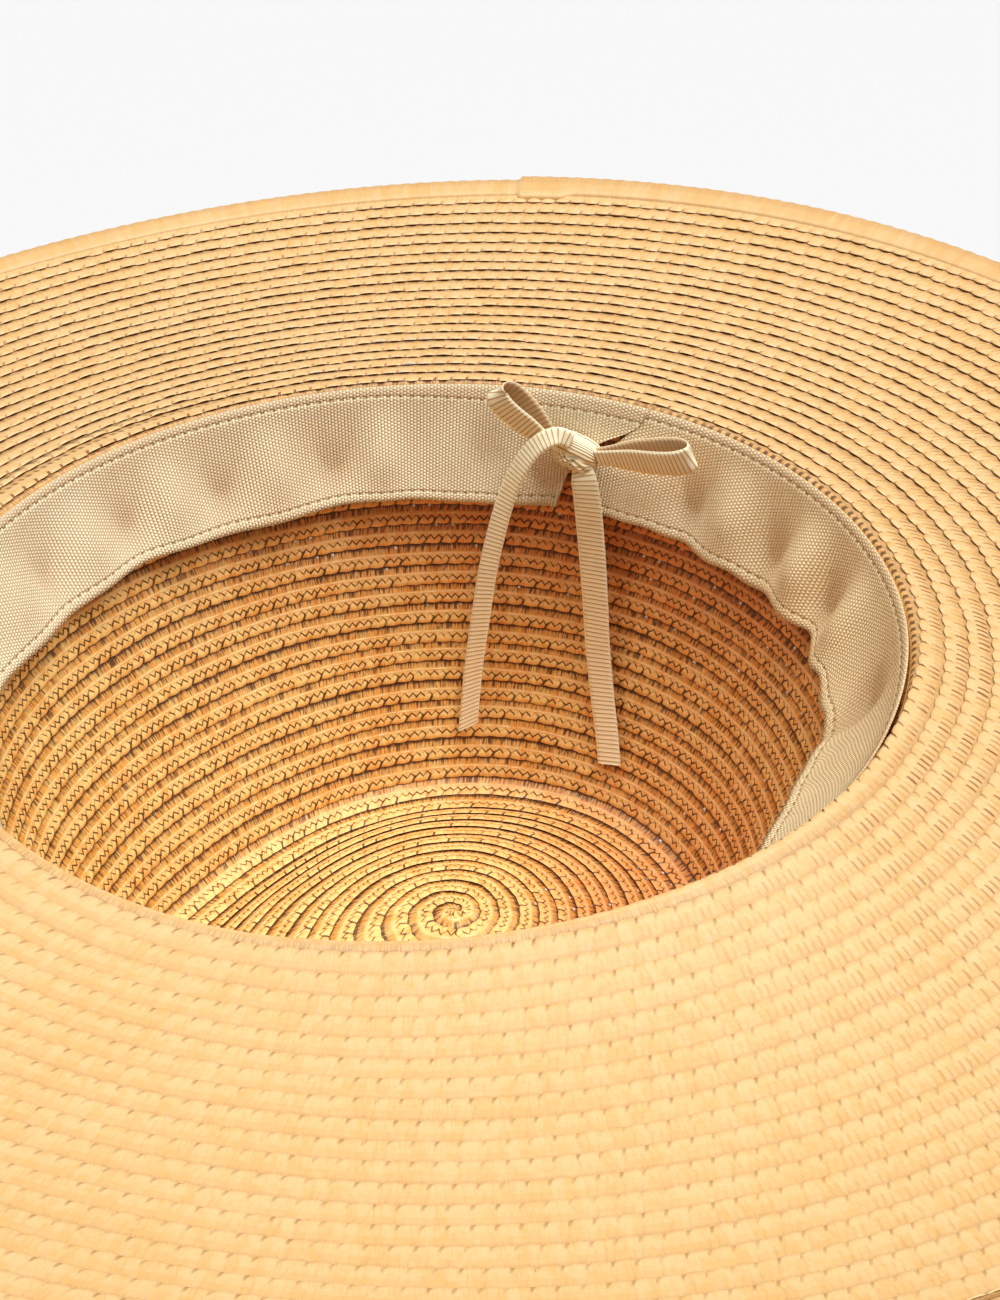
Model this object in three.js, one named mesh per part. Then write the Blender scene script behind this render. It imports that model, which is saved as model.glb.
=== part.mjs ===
// A wide-brimmed fedora of sewn straw braid, lying on its crown with the opening up.
// Millimetres, +Z up. The origin is on the floor, under the middle of the brim.
// The bow marks the back, at +Y.
import * as THREE from "three";

const { degToRad, lerp, smoothstep } = THREE.MathUtils;

// Straw braid: pitch of the sewn rows, and thickness of the wall
const ROW = 4.85;
const STRAW = 2;
const SEAT_GAP = 0.35;
const SEAM_GAP = 0.55;

// Opening: head size about 574 mm, a little oval
const HEAD_RADIUS = 91.3;
const HEAD_OVAL = 3.4;
const HEAD_TURN = degToRad(19);

// Crown wall from the seam down to its foot, with its lean from upright
const WALL_LENGTH = 96.5;
const WALL_LEAN_TOP = degToRad(11.3);
const WALL_LEAN_FOOT = degToRad(22);

// Below the wall: a tight corner, then the ridge that the hat rests on, a longer oval than the opening
const CORNER_LENGTH = 5.2;
const RIDGE_WIDTH = 4.6;
const RIDGE_OVAL = 8;
const RIDGE_TURN = degToRad(62);

// Dent in the tip: inside the crown it is a low dome, with its middle nearer the back
const DENT_RISE = 10.5;
const DENT_SHIFT = new THREE.Vector2(5.3, 12.1);
const DENT_OVAL_FADE = 1.5;

// Brim: slope in degrees at the seam, half-way and at the edge, and the sway of the whole sheet
const BRIM_WIDTH = 20.8 * ROW;
const BRIM_SLOPES = {
  back: { seam: -10.9, middle: -4.2, edge: 6.2 },
  front: { seam: -5.6, middle: 3.2, edge: 20.5 },
};
const SWAY_SEAM = 1.4;
const SWAY_EDGE = 6.6;
const SWAY_TURN = degToRad(66);
const DIP = { depth: 7.1, turn: degToRad(252), spread: degToRad(49), reach: 55 };

// Edge row: a doubled braid outside the brim
const EDGE_WIDTH = 1.5 * ROW;
const EDGE_THICKNESS = 3;
const EDGE_RAISE = 0.4;
const EDGE_SIDES = 8;

// Sweatband: an open strip whose ends meet at the bow and part in a notch below it, sewn lower in front
const BAND_DROP = 26.5;
const BAND_THICKNESS = 1;
const BAND_SEAT = 0.9;
const BAND_TOP = { back: 0.6, front: 2.6 };
const BAND_STAND = 2.6;
const BAND_LIFT = { stand: 5, drop: 3, turn: degToRad(-8), spread: degToRad(26) };
const BAND_PUCKERS = { count: 21, depth: 0.5 };
const NOTCH_TURN = degToRad(78.5);
const NOTCH_TOP = 0.4;
const NOTCH_FOOT = 2.6;

// Ribbon of the bow
const RIBBON_WIDTH = 6;
const RIBBON_THICKNESS = 0.8;

// Roundness of the edge row's and the knot's sections: 1 is an ellipse, and lower is squarer
const ROUNDNESS = 0.6;

// Knot: turn in degrees, drop below the seam and distance from the wall, with its half sizes
const KNOT = { turn: 77, drop: 12.2, stand: 5.7 };
const KNOT_HALF = { along: 5.2, up: 3.8, out: 2.9 };
const KNOT_TILT = degToRad(-16);

// Loops: base on the wall, then in degrees the rise from level, the lean off the wall and the roll about
// the loop's own line, and last the reach, the half opening and the sideways skew of the two strands
const LOOPS = {
  bow_loop_left: {
    turn: 81.5, drop: 10.2, stand: 6,
    rise: 136, lean: 12, roll: -14, reach: 16, opening: 1.3, skew: -2.2,
  },
  bow_loop_right: {
    turn: 72.8, drop: 11.8, stand: 6.4,
    rise: 17, lean: 16, roll: 20, reach: 25, opening: 1.6, skew: 1.2,
  },
};
const LOOP_BASE_GAP = 0.9;
const LOOP_SWELL = 2.6;
const LOOP_BASE_WIDTH = 0.62;

// Tails: turn in degrees, drop below the seam, distance from the wall, twist in degrees, share of the width
const TAILS = {
  bow_tail_left: [
    { turn: 78.4, drop: 8.4, stand: 9.4, twist: 15, width: 0.62 },
    { turn: 81.4, drop: 9, stand: 10, twist: 22, width: 0.72 },
    { turn: 84.4, drop: 14.8, stand: 9, twist: 31, width: 0.8 },
    { turn: 86.8, drop: 23, stand: 7.8, twist: 33, width: 0.84 },
    { turn: 88.3, drop: 31.6, stand: 6.8, twist: 30, width: 0.84 },
    { turn: 89.8, drop: 43.3, stand: 5.6, twist: 26, width: 0.82 },
    { turn: 90.8, drop: 56.3, stand: 4.6, twist: 22, width: 0.8 },
    { turn: 91.6, drop: 68, stand: 3.6, twist: 16, width: 0.75 },
    { turn: 92, drop: 78.4, stand: 2.8, twist: 8, width: 0.72 },
    { turn: 92.2, drop: 84, stand: 2.2, twist: 0, width: 0.72 },
  ],
  bow_tail_right: [
    { turn: 75.1, drop: 17, stand: 7.2, twist: 0, width: 0.9 },
    { turn: 73.9, drop: 23.6, stand: 7, twist: 0, width: 1.08 },
    { turn: 72.8, drop: 34.7, stand: 5.6, twist: 0, width: 1.08 },
    { turn: 71.6, drop: 47.2, stand: 4.4, twist: 0, width: 1.05 },
    { turn: 70.3, drop: 59.7, stand: 3.4, twist: 0, width: 1.02 },
    { turn: 68.3, drop: 72, stand: 2.6, twist: 0, width: 1 },
    { turn: 66, drop: 82.7, stand: 2, twist: 0, width: 0.98 },
    { turn: 65, drop: 87.2, stand: 1.8, twist: 0, width: 0.98 },
  ],
};

// Fineness of the meshes
const TURN_STEPS = 64;
const BAND_STEPS = 120;
const PATH_STEPS = 22;
const KNOT_STEPS = 8;
const KNOT_END = 0.46;
const KNOT_SIDES = 16;
const DENT_FIRST_RING = 0.14;
const SLOPE_STEP = 0.5;
const SUM_STEPS = 24;

const STRAW_COLOUR = 0xe9c27a;
const BAND_COLOUR = 0xdcc195;
const RIBBON_COLOUR = 0xc99f5c;

// Walks a path whose angle from level changes along it, and returns how far it goes across and up
function walk(angleAt, length) {
  const step = length / SUM_STEPS;
  const gone = { across: 0, up: 0 };
  for (let i = 0; i < SUM_STEPS; i++) {
    const angle = angleAt((i + 0.5) * step);
    gone.across += Math.cos(angle) * step;
    gone.up += Math.sin(angle) * step;
  }
  return gone;
}

// Angle of the wall from level, at a distance below the seam
function wallAngle(drop) {
  return Math.PI / 2 - lerp(WALL_LEAN_TOP, WALL_LEAN_FOOT, drop / WALL_LENGTH);
}

// Angle of the corner from level, at a distance below the wall's foot
function cornerAngle(drop) {
  return lerp(wallAngle(WALL_LENGTH), 0, drop / CORNER_LENGTH);
}

const WALL_FALL = walk(wallAngle, WALL_LENGTH);
const CORNER_FALL = walk(cornerAngle, CORNER_LENGTH);
const SEAM_HEIGHT = STRAW + WALL_FALL.up + CORNER_FALL.up;
const RIDGE_RADIUS = HEAD_RADIUS - WALL_FALL.across - CORNER_FALL.across - RIDGE_WIDTH;
const SIDE_LENGTH = WALL_LENGTH + CORNER_LENGTH;

// One station of the crown's inner outline: radius, height,
// and its shares of the way to the seam and off the tip
function sideStation(drop) {
  const onWall = Math.min(drop, WALL_LENGTH);
  const wall = walk(wallAngle, onWall);
  const corner = walk(cornerAngle, drop - onWall);
  return {
    r: HEAD_RADIUS - wall.across - corner.across,
    z: SEAM_HEIGHT - wall.up - corner.up,
    seam: 1 - drop / SIDE_LENGTH,
    tip: 1,
  };
}

// One station of the dent, at a share of the way from its middle to the ridge
function dentStation(share) {
  return { r: RIDGE_RADIUS * share, z: STRAW + DENT_RISE * (1 - share * share), seam: 0, tip: share };
}

// A smooth bump around a turn: 1 there, and falling off on both sides
function bump(turn, middle, spread) {
  const aside = Math.atan2(Math.sin(turn - middle), Math.cos(turn - middle)) / spread;
  return Math.exp(-aside * aside);
}

// How far the opening's edge, or the brim at a distance from it, stands above its level
function seamLift(turn, away = 0) {
  const dip = DIP.depth * bump(turn, DIP.turn, DIP.spread) * Math.exp(-((away / DIP.reach) ** 2));
  const sway = lerp(SWAY_SEAM, SWAY_EDGE, away / BRIM_WIDTH);
  return sway * Math.cos(2 * (turn - SWAY_TURN)) - dip;
}

function headOval(turn) {
  return HEAD_OVAL * Math.cos(2 * (turn - HEAD_TURN));
}

// A station of the crown's outline turned into a point of the real, oval crown
function crownPoint(station, turn) {
  const nearSeam = smoothstep(station.seam, 0, 1);
  const ridgeOval = RIDGE_OVAL * Math.cos(2 * (turn - RIDGE_TURN)) * station.tip ** DENT_OVAL_FADE;
  const radius = station.r + lerp(ridgeOval, headOval(turn), nearSeam);
  const shift = DENT_SHIFT.clone().multiplyScalar(1 - station.tip);
  const height = station.z + seamLift(turn) * station.seam ** 2;
  return new THREE.Vector3(radius * Math.cos(turn) + shift.x, radius * Math.sin(turn) + shift.y, height);
}

// Moves an outline of stations sideways by a distance, with mitred corners
function offsetStations(stations, distance) {
  return stations.map((station, i) => {
    const before = stations[Math.max(0, i - 1)];
    const after = stations[Math.min(stations.length - 1, i + 1)];
    const here = new THREE.Vector2(station.r, station.z);
    const arriving = i > 0 ? here.clone().sub(new THREE.Vector2(before.r, before.z)).normalize() : null;
    const leaving = after !== station ? new THREE.Vector2(after.r, after.z).sub(here).normalize() : arriving;
    const along = (arriving ?? leaving).clone().add(leaving).normalize();
    const stretch = distance / along.dot(leaving);
    return { ...station, r: station.r + along.y * stretch, z: station.z - along.x * stretch };
  });
}

// A closed solid through rings of points. Its ends are closed, unless the last ring joins the first.
function loft(rings, joined = false) {
  const sides = rings[0].length;
  const faces = [];
  const at = (i, j) => (i % rings.length) * sides + (j % sides);
  const bands = joined ? rings.length : rings.length - 1;
  for (let i = 0; i < bands; i++) {
    for (let j = 0; j < sides; j++) {
      faces.push(at(i, j), at(i + 1, j), at(i + 1, j + 1), at(i, j), at(i + 1, j + 1), at(i, j + 1));
    }
  }
  if (!joined) {
    closeEnd(faces, sides, 0, false);
    closeEnd(faces, sides, (rings.length - 1) * sides, true);
  }
  const points = rings.flat();
  const geometry = new THREE.BufferGeometry().setFromPoints(points);
  geometry.setIndex(volumeOf(points, faces) < 0 ? faces.reverse() : faces);
  geometry.computeVertexNormals();
  return geometry;
}

// Closes one end of a loft with a strip of triangles between the two halves of its ring
function closeEnd(faces, sides, first, turned) {
  const put = (a, b, c) => faces.push(first + a, first + (turned ? c : b), first + (turned ? b : c));
  for (let j = 0; j < sides / 2 - 1; j++) {
    const far = sides - 1 - j;
    put(j, j + 1, far);
    if (far - 1 > j + 1) put(j + 1, far - 1, far);
  }
}

function volumeOf(points, faces) {
  let sum = 0;
  const normal = new THREE.Vector3();
  for (let i = 0; i < faces.length; i += 3) {
    normal.crossVectors(points[faces[i + 1]], points[faces[i + 2]]);
    sum += points[faces[i]].dot(normal);
  }
  return sum;
}

// Turns around the hat, a step apart
function turns(count) {
  return Array.from({ length: count }, (_, i) => (i / count) * 2 * Math.PI);
}

// Even steps from a first to a last value, both included
function steps(first, last, count) {
  return Array.from({ length: count + 1 }, (_, i) => lerp(first, last, i / count));
}

// A shell of straw, one braid thick, outside an outline of stations
function makeShell(inside, joined) {
  const outside = offsetStations(inside, STRAW).reverse();
  const ring = (station) => turns(TURN_STEPS).map((turn) => crownPoint(station, turn));
  return loft([...inside, ...outside].map(ring), joined);
}

// The wall, its corner and the flat ridge, as one ring
function makeCrownSide() {
  const wallTop = STRAW + SEAM_GAP;
  const drops = [...steps(wallTop, WALL_LENGTH, 6), ...steps(WALL_LENGTH, SIDE_LENGTH, 3).slice(1)];
  return makeShell([dentStation(1), ...drops.reverse().map(sideStation)], true);
}

// The dented top, which fits inside the ridge
function makeCrownTip() {
  const lastRing = 1 - SEAT_GAP / RIDGE_RADIUS;
  return makeShell(steps(DENT_FIRST_RING, lastRing, 6).map(dentStation), false);
}

// Slope of the brim at a share of its width, from its three named slopes
function brimSlope(slopes, share) {
  const bend = 2 * (slopes.seam - 2 * slopes.middle + slopes.edge);
  const start = slopes.edge - slopes.seam - bend;
  return degToRad(slopes.seam + start * share + bend * share * share);
}

// A place on the brim's upper face, at a turn and a distance from the seam: radius and height
function brimPlace(turn, away) {
  const toFront = smoothstep(-Math.sin(turn), -0.5, 0.5);
  const backRise = walk((d) => brimSlope(BRIM_SLOPES.back, d / BRIM_WIDTH), away).up;
  const front = walk((d) => brimSlope(BRIM_SLOPES.front, d / BRIM_WIDTH), away);
  const rise = lerp(backRise, front.up, toFront) + seamLift(turn, away);
  return new THREE.Vector2(HEAD_RADIUS + headOval(turn) + front.across, SEAM_HEIGHT + rise);
}

// A point beside the brim: out along its face from a place, and up from that face
function brimPoint(turn, away, out, up) {
  const place = brimPlace(turn, away);
  const along = brimPlace(turn, away + SLOPE_STEP).sub(brimPlace(turn, away - SLOPE_STEP)).normalize();
  const radius = place.x + along.x * out - along.y * up;
  const height = place.y + along.y * out + along.x * up;
  return new THREE.Vector3(radius * Math.cos(turn), radius * Math.sin(turn), height);
}

function makeBrim() {
  const aways = steps(0, BRIM_WIDTH, 7);
  const face = (up) => (away) => turns(TURN_STEPS).map((turn) => brimPoint(turn, away, 0, up));
  const upper = aways.map(face(0));
  const lower = aways.map(face(-STRAW)).reverse();
  return loft([...upper, ...lower], true);
}

function makeBrimEdge() {
  const half = { out: EDGE_WIDTH / 2, up: EDGE_THICKNESS / 2 };
  const middle = SEAT_GAP + half.out;
  const height = EDGE_RAISE - half.up;
  const section = turns(EDGE_SIDES).map((turn) => [squarish(Math.cos(turn)), squarish(Math.sin(turn))]);
  const point = (turn, out, up) =>
    brimPoint(turn, BRIM_WIDTH, middle + out * half.out, height + up * half.up);
  const ring = ([out, up]) => turns(TURN_STEPS).map((turn) => point(turn, out, up));
  return loft(section.map(ring), true);
}

// A point inside the hollow: a turn around the hat, a drop below the seam and a distance in from the wall
function hollowPoint(turn, drop, stand) {
  const station = sideStation(drop);
  const angle = wallAngle(drop);
  station.r -= stand * Math.sin(angle);
  station.z += stand * Math.cos(angle);
  return crownPoint(station, turn);
}

// How strongly the sweatband stands away from the wall and hangs lower, at a turn
function bandLift(turn) {
  return bump(turn, BAND_LIFT.turn, BAND_LIFT.spread);
}

// A point of the sweatband: share of its length, share of its drop, and distance from its back
function bandPoint(share, down, out) {
  const notch = lerp(NOTCH_TOP, NOTCH_FOOT, down) / HEAD_RADIUS;
  const turn = NOTCH_TURN + lerp(notch, 2 * Math.PI - notch, share);
  const lift = bandLift(turn);
  const pucker = BAND_PUCKERS.depth * Math.sin(BAND_PUCKERS.count * turn) * down;
  const stand = lerp(BAND_SEAT, BAND_STAND + BAND_LIFT.stand * lift, down ** 1.5) + pucker;
  const top = lerp(BAND_TOP.back, BAND_TOP.front, smoothstep(-Math.sin(turn), 0, 0.6));
  const drop = lerp(top, BAND_DROP + BAND_LIFT.drop * lift, down);
  return hollowPoint(turn, drop, stand + out);
}

function makeSweatband() {
  const downs = steps(0, 1, 3);
  const section = (share) => [
    ...downs.map((down) => bandPoint(share, down, 0)),
    ...[...downs].reverse().map((down) => bandPoint(share, down, BAND_THICKNESS)),
  ];
  return loft(steps(0, 1, BAND_STEPS).map(section));
}

// Directions at a place on the wall: level along the wall, up the wall, and out into the hollow
function wallFrame(turnDegrees, drop) {
  const turn = degToRad(turnDegrees);
  const here = hollowPoint(turn, drop, 0);
  const right = hollowPoint(turn - degToRad(SLOPE_STEP), drop, 0).sub(here).normalize();
  const out = hollowPoint(turn, drop, SLOPE_STEP).sub(here).normalize();
  const up = new THREE.Vector3().crossVectors(out, right).normalize();
  return { right, up, out };
}

// A flat strip along a path of { point, across, width }, where across points along the strip's width
function makeStrip(path) {
  const points = path.map(({ point }) => point);
  const rings = path.map(({ point, across, width }, i) => {
    const along = pathDirection(points, i);
    const face = new THREE.Vector3().crossVectors(along, across).normalize();
    const wide = new THREE.Vector3().crossVectors(face, along).normalize();
    const corner = (side, depth) =>
      point
        .clone()
        .addScaledVector(wide, (side * width) / 2)
        .addScaledVector(face, (depth * RIBBON_THICKNESS) / 2);
    return [corner(-1, -1), corner(1, -1), corner(1, 1), corner(-1, 1)];
  });
  return loft(rings);
}

// A smooth row of values between the rows of a table, at a share of the way through it
function tableRow(rows, share) {
  const place = share * (rows.length - 1);
  const i = Math.min(Math.floor(place), rows.length - 2);
  const t = place - i;
  const row = (n) => rows[THREE.MathUtils.clamp(n, 0, rows.length - 1)];
  const smooth = (key) => {
    const [a, b, c, d] = [row(i - 1)[key], row(i)[key], row(i + 1)[key], row(i + 2)[key]];
    const bend = 2 * a - 5 * b + 4 * c - d;
    const turnOver = 3 * (b - c) + d - a;
    return b + 0.5 * t * (c - a + t * (bend + t * turnOver));
  };
  return Object.fromEntries(Object.keys(rows[0]).map((key) => [key, smooth(key)]));
}

// Direction of a path at one of its points
function pathDirection(points, i) {
  const before = points[Math.max(0, i - 1)];
  const after = points[Math.min(points.length - 1, i + 1)];
  return after.clone().sub(before).normalize();
}

function makeTail(rows) {
  const stations = steps(0, 1, PATH_STEPS).map((share) => tableRow(rows, share));
  const points = stations.map(({ turn, drop, stand }) => hollowPoint(degToRad(turn), drop, stand));
  const path = stations.map(({ turn, drop, twist, width }, i) => {
    const { out } = wallFrame(turn, drop);
    const aside = new THREE.Vector3().crossVectors(out, pathDirection(points, i)).normalize();
    const angle = degToRad(twist);
    const across = aside.multiplyScalar(Math.cos(angle)).addScaledVector(out, Math.sin(angle));
    return { point: points[i], across, width: width * RIBBON_WIDTH };
  });
  return makeStrip(path);
}

function makeLoop({ turn, drop, stand, rise, lean, roll, reach, opening, skew }) {
  const { right, up, out } = wallFrame(turn, drop);
  const base = hollowPoint(degToRad(turn), drop, stand);
  const line = right
    .clone()
    .multiplyScalar(Math.cos(degToRad(rise)))
    .addScaledVector(up, Math.sin(degToRad(rise)))
    .multiplyScalar(Math.cos(degToRad(lean)))
    .addScaledVector(out, Math.sin(degToRad(lean)));
  const front = out.clone().applyAxisAngle(line, degToRad(roll));
  const across = new THREE.Vector3().crossVectors(line, front);
  const path = steps(0, 1, PATH_STEPS).map((share) => {
    const away = Math.sin(Math.PI * share);
    const strand = Math.cos(Math.PI * share);
    const point = base
      .clone()
      .addScaledVector(line, reach * away)
      .addScaledVector(front, (LOOP_SWELL * opening * away ** 2 + LOOP_BASE_GAP) * strand)
      .addScaledVector(across, skew * away * strand);
    return { point, across, width: RIBBON_WIDTH * lerp(LOOP_BASE_WIDTH, 1, smoothstep(away, 0, 0.5)) };
  });
  return makeStrip(path);
}

// Pushes a sine or cosine outwards, so that the ellipse it draws becomes a rounded block
function squarish(value) {
  return Math.sign(value) * Math.abs(value) ** ROUNDNESS;
}

function makeKnot() {
  const { right, up, out } = wallFrame(KNOT.turn, KNOT.drop);
  const middle = hollowPoint(degToRad(KNOT.turn), KNOT.drop, KNOT.stand);
  const along = right.clone().applyAxisAngle(out, KNOT_TILT);
  const upright = up.clone().applyAxisAngle(out, KNOT_TILT);
  const rings = steps(-KNOT_END, KNOT_END, KNOT_STEPS).map((share) => {
    const lean = share * Math.PI;
    return turns(KNOT_SIDES).map((turn) =>
      middle
        .clone()
        .addScaledVector(along, KNOT_HALF.along * squarish(Math.sin(lean)))
        .addScaledVector(upright, KNOT_HALF.up * squarish(Math.cos(lean)) * squarish(Math.cos(turn)))
        .addScaledVector(out, KNOT_HALF.out * squarish(Math.cos(lean)) * squarish(Math.sin(turn))),
    );
  });
  return loft(rings);
}

function named(name, geometry, color) {
  const material = new THREE.MeshStandardMaterial({ color, roughness: 0.85, metalness: 0 });
  const mesh = new THREE.Mesh(geometry, material);
  mesh.name = name;
  return mesh;
}

const hat = new THREE.Group();
hat.name = "fedora";
hat.add(named("crown_side", makeCrownSide(), STRAW_COLOUR));
hat.add(named("crown_tip", makeCrownTip(), STRAW_COLOUR));
hat.add(named("brim", makeBrim(), STRAW_COLOUR));
hat.add(named("brim_edge", makeBrimEdge(), STRAW_COLOUR));
hat.add(named("sweatband", makeSweatband(), BAND_COLOUR));
hat.add(named("bow_knot", makeKnot(), RIBBON_COLOUR));
for (const [name, loop] of Object.entries(LOOPS)) {
  hat.add(named(name, makeLoop(loop), RIBBON_COLOUR));
}
for (const [name, rows] of Object.entries(TAILS)) {
  hat.add(named(name, makeTail(rows), RIBBON_COLOUR));
}

export default hat;
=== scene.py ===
import math

import bpy
import numpy as np
from mathutils import Matrix, Vector


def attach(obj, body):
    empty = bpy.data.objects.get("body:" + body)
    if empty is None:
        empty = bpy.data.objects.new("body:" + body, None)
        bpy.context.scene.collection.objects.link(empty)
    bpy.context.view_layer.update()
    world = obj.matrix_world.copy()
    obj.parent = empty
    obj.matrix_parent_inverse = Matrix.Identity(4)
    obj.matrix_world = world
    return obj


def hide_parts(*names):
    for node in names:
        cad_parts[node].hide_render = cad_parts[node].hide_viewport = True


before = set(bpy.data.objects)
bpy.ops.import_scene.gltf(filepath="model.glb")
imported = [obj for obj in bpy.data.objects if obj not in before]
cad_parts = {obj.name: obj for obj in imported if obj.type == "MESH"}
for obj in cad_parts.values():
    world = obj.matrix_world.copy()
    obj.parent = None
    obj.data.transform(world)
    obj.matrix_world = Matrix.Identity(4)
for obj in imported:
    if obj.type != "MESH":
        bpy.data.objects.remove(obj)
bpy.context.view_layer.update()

# Lengths are in millimetres until a mesh is made
MM = 0.001

# Straw braid: pitch of the sewn rows, thickness of the wall, and length of one plait
ROW = 4.85
STRAW = 2.0
PLAIT = 3.65

# Opening and crown
HEAD_RADIUS = 91.3
HEAD_OVAL = 3.4
HEAD_TURN = math.radians(19)
WALL_LENGTH = 96.5
WALL_LEAN_TOP = math.radians(11.3)
WALL_LEAN_FOOT = math.radians(22)
CORNER_LENGTH = 5.2
SIDE_LENGTH = WALL_LENGTH + CORNER_LENGTH
RIDGE_WIDTH = 4.6
RIDGE_OVAL = 8.0
RIDGE_TURN = math.radians(62)
DENT_RISE = 10.5
DENT_SHIFT = (5.3, 12.1)
DENT_OVAL_FADE = 1.5

# Brim: slopes in degrees at the seam, half-way and at the edge, where back passes over to front, the rounding
# of the seam, and the sway of the whole sheet
BRIM_WIDTH = 20.8 * ROW
BRIM_BACK = (-10.9, -4.2, 6.2)
BRIM_FRONT = (-5.6, 3.2, 20.5)
BRIM_FORWARD = (-0.5, 0.5)
SEAM_ROUND = 1.6
SWAY_SEAM = 1.4
SWAY_EDGE = 6.6
SWAY_TURN = math.radians(66)
DIP_DEPTH = 7.1
DIP_TURN = math.radians(252)
DIP_SPREAD = math.radians(49)
DIP_REACH = 55.0

# Edge row outside the brim
SEAT_GAP = 0.35
EDGE_WIDTH = 1.5 * ROW
EDGE_THICKNESS = 3.0
EDGE_RAISE = 0.4

# Sweatband: its depth and seat, how far it stands off the wall, where it lifts, and its puckers and scallops
BAND_DROP = 26.5
BAND_THICKNESS = 0.9
BAND_EDGE_THICKNESS = 0.35
BAND_SEAT = 0.9
BAND_TOP_BACK = 0.6
BAND_TOP_FRONT = 4.0
BAND_STAND = 4.3
BAND_LIFT_STAND = 6.0
BAND_LIFT_DROP = 3.0
BAND_LIFT_TURN = math.radians(-8)
BAND_LIFT_SPREAD = math.radians(26)
BAND_PUCKERS = 21
BAND_PUCKER_DEPTH = 0.5
BAND_SCALLOPS = 44
BAND_SCALLOP = 1.0
BAND_SCALLOP_SPREAD = math.radians(50)

# Ribbon of the bow
RIBBON_WIDTH = 6.0
RIBBON_THICKNESS = 0.55
RIB_PITCH = 1.05
RIB_DEPTH = 0.09

# Knot: turn in degrees, drop below the seam, distance from the wall, half sizes and tilt
KNOT_TURN = 77.0
KNOT_DROP = 12.2
KNOT_STAND = 5.6
KNOT_HALF = (5.2, 3.8, 2.9)
KNOT_TILT = math.radians(-16)

# Loops: turn, drop and stand of the base, then rise, lean and roll in degrees, reach, half opening and skew
LOOP_LEFT = dict(
    turn=80.3, drop=11.4, stand=6.0, rise=136, lean=12, roll=-14, reach=17.5, opening=1.3, skew=-2.2,
)
LOOP_RIGHT = dict(
    turn=73.4, drop=11.9, stand=6.4, rise=17, lean=16, roll=20, reach=25.5, opening=1.6, skew=1.2,
)
LOOP_BASE_GAP = 0.6
LOOP_SWELL = 2.6
LOOP_BASE_WIDTH = 0.62

# Tails: turn in degrees, drop below the seam, distance from the wall, twist in degrees, share of the width
TAIL_LEFT = (
    (77.2, 8.8, 8.4, 15, 0.62),
    (79.2, 7.9, 9.4, 20, 0.66),
    (81.4, 9.4, 9.6, 25, 0.72),
    (83.5, 12.6, 9.2, 30, 0.78),
    (85.3, 17.3, 8.6, 33, 0.82),
    (86.8, 23.0, 7.8, 33, 0.84),
    (88.3, 31.6, 6.8, 30, 0.84),
    (89.8, 43.3, 5.6, 26, 0.82),
    (90.8, 56.3, 4.6, 22, 0.80),
    (91.6, 68.0, 3.6, 16, 0.75),
    (92.0, 78.4, 2.8, 8, 0.72),
    (92.2, 84.0, 2.2, 0, 0.72),
)
TAIL_RIGHT = (
    (75.7, 15.0, 6.6, 0, 0.75),
    (74.8, 17.7, 7.4, 0, 1.00),
    (73.9, 23.6, 7.0, 0, 1.08),
    (72.8, 34.7, 5.6, 0, 1.08),
    (71.6, 47.2, 4.4, 0, 1.05),
    (70.3, 59.7, 3.4, 0, 1.02),
    (68.3, 72.0, 2.6, 0, 1.00),
    (66.0, 82.7, 2.0, 0, 0.98),
    (65.0, 87.2, 1.8, 0, 0.98),
)

# Camera, solved from the braid rows: place, angles in radians, lens for the height of its frame, and its
# nearest and furthest sight in metres
CAMERA_PLACE = (82.146, -400.087, 381.19)
CAMERA_HEADING = 0.164
CAMERA_TILT = 0.622
CAMERA_ROLL = -0.021
CAMERA_LENS = 72.12
CAMERA_FRAME = 36.0
CAMERA_CLIP = (0.01, 50)

# Steps of the tables worked out below, and steps for finding the direction of a face
WALL_STEPS = 400
DENT_STEPS = 200
BRIM_STEPS = 400
FACE_STEP = 0.5
TURN_STEP = math.radians(0.5)


def lerp(a, b, t):
    return a + (b - a) * t


def smooth(x, low=0.0, high=1.0):
    t = np.clip((x - low) / (high - low), 0, 1)
    return t * t * (3 - 2 * t)


def bump(turn, middle, spread):
    aside = np.arctan2(np.sin(turn - middle), np.cos(turn - middle)) / spread
    return np.exp(-aside * aside)


# Share of the way forward, between two places from -1 at the back of the hat to 1 at its front
def forward(turn, places):
    return smooth(-np.sin(turn), *places)


def unit(v):
    return v / np.linalg.norm(v, axis=-1, keepdims=True)


# Sums so far along a row of steps, from 0
def running(steps):
    return np.concatenate([[0], np.cumsum(steps)])


# Outline of the crown's inner face from the seam down to the middle of the tip
def crown_outline():
    drop = np.linspace(0, SIDE_LENGTH, WALL_STEPS + 1)
    middle = (drop[1:] + drop[:-1]) / 2
    lean = lerp(WALL_LEAN_TOP, WALL_LEAN_FOOT, np.clip(middle / WALL_LENGTH, 0, 1))
    corner = np.clip((middle - WALL_LENGTH) / CORNER_LENGTH, 0, 1)
    angle = (math.pi / 2 - lean) * (1 - corner)
    step = np.diff(drop)
    across = running(np.cos(angle) * step)
    down = running(np.sin(angle) * step)
    ridge = HEAD_RADIUS - across[-1] - RIDGE_WIDTH
    share = np.linspace(1, 0, DENT_STEPS + 1)
    radius = np.concatenate([HEAD_RADIUS - across, ridge * share])
    height = np.concatenate([STRAW + down[-1] - down, STRAW + DENT_RISE * (1 - share**2)])
    seam = np.concatenate([1 - drop / SIDE_LENGTH, 0 * share])
    tip = np.concatenate([1 + 0 * drop, share])
    length = running(np.hypot(np.diff(radius), np.diff(height)))
    return length, radius, height, seam, tip


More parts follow.
